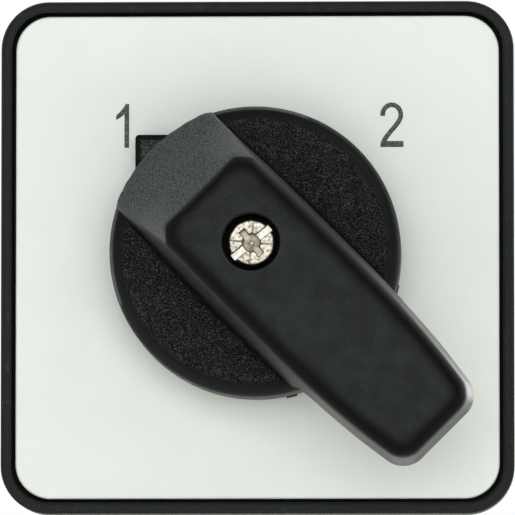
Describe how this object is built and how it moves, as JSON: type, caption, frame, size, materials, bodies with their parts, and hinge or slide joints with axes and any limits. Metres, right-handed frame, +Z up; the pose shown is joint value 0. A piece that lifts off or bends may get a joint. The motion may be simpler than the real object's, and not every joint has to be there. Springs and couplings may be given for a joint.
{
  "type": "battery changeover switch",
  "caption": "Panel-mounted rotary changeover switch with a square front plate, thumb-grip handle, cam-driven contacts and screw terminals at the back.",
  "frame": {"origin": "on the turning axis, in the outer face of the rear cover; the panel's front surface is at y = -37.6 mm", "axes": "-Y out of the front of the panel towards the user, +Y behind the panel along the shaft, +Z up, +X to the right seen from the front"},
  "size_m": [0.048, 0.0633, 0.048],
  "materials": {
    "bezel_black": "fine satin moulded",
    "dial_insert": "smooth satin, pale grey-green white",
    "gasket_rubber": "dull",
    "zinc_steel": "bright zinc plating",
    "knob_black": "spark-eroded grain, polished edges",
    "pointer_black": "fine grain",
    "nickel_screw": "nickel plating, slightly warm",
    "spring_steel": "bright",
    "shaft_steel": "drawn",
    "natural_acetal": "smooth, natural white",
    "housing_black": "moulded thermoset, fine grain",
    "terminal_brass": "rolled",
    "bridge_brass": "rolled, silver buttons",
    "carrier_plastic": "smooth red-brown"
  },
  "bodies": {
    "housing": {"bezel_frame": "bezel_black", "dial_plate": "dial_insert", "bezel_gasket": "gasket_rubber", "shaft_seal": "gasket_rubber", "mounting_screw_1": "zinc_steel", "mounting_screw_2": "zinc_steel", "mounting_screw_3": "zinc_steel", "mounting_screw_4": "zinc_steel", "through_bolt_top": "zinc_steel", "through_bolt_bottom": "zinc_steel", "bolt_nut_top": "zinc_steel", "bolt_nut_bottom": "zinc_steel", "detent_spring_top": "spring_steel", "detent_spring_bottom": "spring_steel", "stop_segment": "natural_acetal", "mounting_flange": "housing_black", "latch_housing": "housing_black", "contact_chamber_front": "housing_black", "contact_chamber_rear": "housing_black", "rear_cover": "housing_black", "terminal_front_upper_left": "terminal_brass", "terminal_screw_front_upper_left": "zinc_steel", "terminal_front_lower_left": "terminal_brass", "terminal_screw_front_lower_left": "zinc_steel", "terminal_front_lower_right": "terminal_brass", "terminal_screw_front_lower_right": "zinc_steel", "terminal_front_upper_right": "terminal_brass", "terminal_screw_front_upper_right": "zinc_steel", "contact_spring_front_left": "spring_steel", "contact_spring_front_right": "spring_steel", "terminal_rear_upper_left": "terminal_brass", "terminal_screw_rear_upper_left": "zinc_steel", "terminal_rear_lower_left": "terminal_brass", "terminal_screw_rear_lower_left": "zinc_steel", "terminal_rear_lower_right": "terminal_brass", "terminal_screw_rear_lower_right": "zinc_steel", "terminal_rear_upper_right": "terminal_brass", "terminal_screw_rear_upper_right": "zinc_steel", "contact_spring_rear_left": "spring_steel", "contact_spring_rear_right": "spring_steel"},
    "rotor": {"handle": "knob_black", "handle_screw": "nickel_screw", "lock_washer": "spring_steel", "pointer_ring": "pointer_black", "shaft": "shaft_steel", "star_wheel": "natural_acetal", "cam_front": "natural_acetal", "cam_rear": "natural_acetal"},
    "carrier_front_left": {"contact_carrier_front_left": "carrier_plastic", "contact_bridge_front_left": "bridge_brass"},
    "carrier_front_right": {"contact_carrier_front_right": "carrier_plastic", "contact_bridge_front_right": "bridge_brass"},
    "carrier_rear_left": {"contact_carrier_rear_left": "carrier_plastic", "contact_bridge_rear_left": "bridge_brass"},
    "carrier_rear_right": {"contact_carrier_rear_right": "carrier_plastic", "contact_bridge_rear_right": "bridge_brass"}
  },
  "joints": [
    {"name": "handle_turn", "type": "hinge", "parent": "housing", "child": "rotor", "pos_m": [0, 0, 0], "axis": [0, 1, 0], "range_deg": [0, 90], "deforming": ["detent_spring_top", "detent_spring_bottom"]},
    {"name": "contact_front_left_lift", "type": "slide", "parent": "housing", "child": "carrier_front_left", "axis": [-1, 0, 0], "range_m": [0, 0.0018], "deforming": ["contact_spring_front_left"]},
    {"name": "contact_front_right_lift", "type": "slide", "parent": "housing", "child": "carrier_front_right", "axis": [1, 0, 0], "range_m": [-0.0018, 0], "deforming": ["contact_spring_front_right"]},
    {"name": "contact_rear_left_lift", "type": "slide", "parent": "housing", "child": "carrier_rear_left", "axis": [-1, 0, 0], "range_m": [0, 0.0018], "deforming": ["contact_spring_rear_left"]},
    {"name": "contact_rear_right_lift", "type": "slide", "parent": "housing", "child": "carrier_rear_right", "axis": [1, 0, 0], "range_m": [-0.0018, 0], "deforming": ["contact_spring_rear_right"]}
  ],
  "couplings": [
    {"joint": "contact_front_left_lift", "follows": "handle_turn", "m_per_rad": 0.001145},
    {"joint": "contact_front_right_lift", "follows": "handle_turn", "m_per_rad": -0.001145},
    {"joint": "contact_rear_left_lift", "follows": "handle_turn", "m_per_rad": 0.001145},
    {"joint": "contact_rear_right_lift", "follows": "handle_turn", "m_per_rad": -0.001145}
  ]
}
